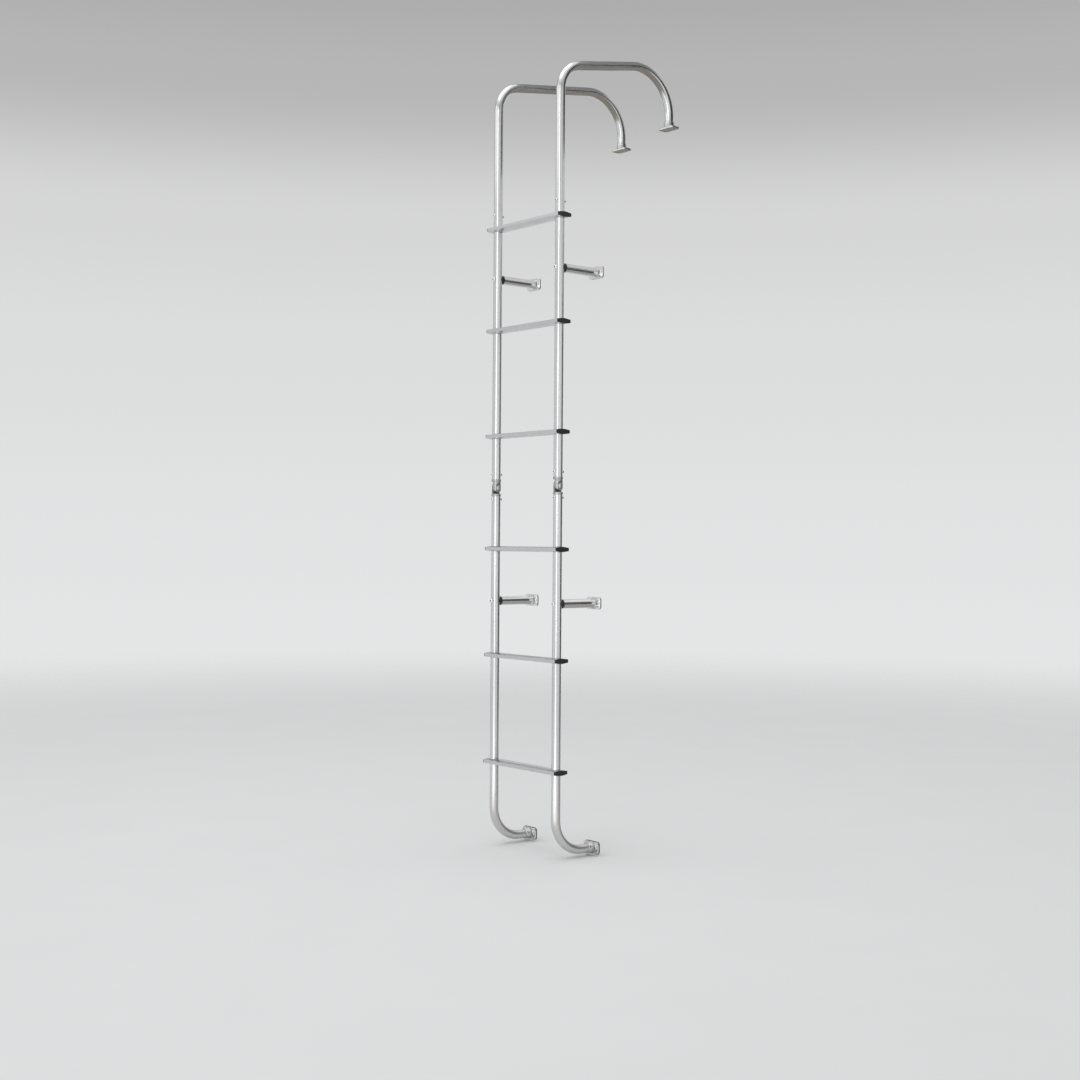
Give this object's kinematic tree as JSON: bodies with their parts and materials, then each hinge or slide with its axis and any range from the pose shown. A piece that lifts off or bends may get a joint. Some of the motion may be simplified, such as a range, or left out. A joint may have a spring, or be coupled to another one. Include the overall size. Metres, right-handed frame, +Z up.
{
  "type": "motorhome rear wall ladder",
  "caption": "Hinged ladder of bent aluminium tube rails and hollow treads, stood off a vehicle's rear wall on flared brackets, with handrails that hook over the roof edge.",
  "frame": {"origin": "middle of the upper left stand-off's flange, on the face that meets the wall", "axes": "+X along the wall to the right as seen by a climber, +Y into the wall, +Z up"},
  "size_m": [0.3346, 0.5205, 2.246],
  "materials": {
    "tube": "satin anodised",
    "tread": "grooved extrusion, satin anodised",
    "end_cap": "moulded, fine grain",
    "standoff": "bright plated",
    "foot": "polished casting",
    "rubber": "moulded",
    "knuckle": "tumbled casting",
    "pivot_bolt": "bright zinc"
  },
  "bodies": {
    "upper_section": {"left_handrail": "tube", "left_upper_rail": "tube", "left_roof_foot": "foot", "left_upper_knuckle": "knuckle", "left_hinge_pin": "pivot_bolt", "upper_left_standoff": "standoff", "upper_left_saddle": "rubber", "right_handrail": "tube", "right_upper_rail": "tube", "right_roof_foot": "foot", "right_upper_knuckle": "knuckle", "right_hinge_pin": "pivot_bolt", "upper_right_standoff": "standoff", "upper_right_saddle": "rubber", "step_1": "tread", "step_1_left_cap": "end_cap", "step_1_right_cap": "end_cap", "step_2": "tread", "step_2_left_cap": "end_cap", "step_2_right_cap": "end_cap", "step_3": "tread", "step_3_left_cap": "end_cap", "step_3_right_cap": "end_cap"},
    "lower_section": {"left_lower_rail": "tube", "left_wall_foot": "foot", "left_foot_gasket": "rubber", "left_lower_knuckle": "knuckle", "lower_left_standoff": "standoff", "lower_left_saddle": "rubber", "right_lower_rail": "tube", "right_wall_foot": "foot", "right_foot_gasket": "rubber", "right_lower_knuckle": "knuckle", "lower_right_standoff": "standoff", "lower_right_saddle": "rubber", "step_4": "tread", "step_4_left_cap": "end_cap", "step_4_right_cap": "end_cap", "step_5": "tread", "step_5_left_cap": "end_cap", "step_5_right_cap": "end_cap", "step_6": "tread", "step_6_left_cap": "end_cap", "step_6_right_cap": "end_cap"}
  },
  "joints": [
    {"name": "lower_section_hinge", "type": "hinge", "parent": "upper_section", "child": "lower_section", "pos_m": [0, -0.137, -0.6], "axis": [-1, 0, 0], "range_deg": [0, 90]}
  ]
}
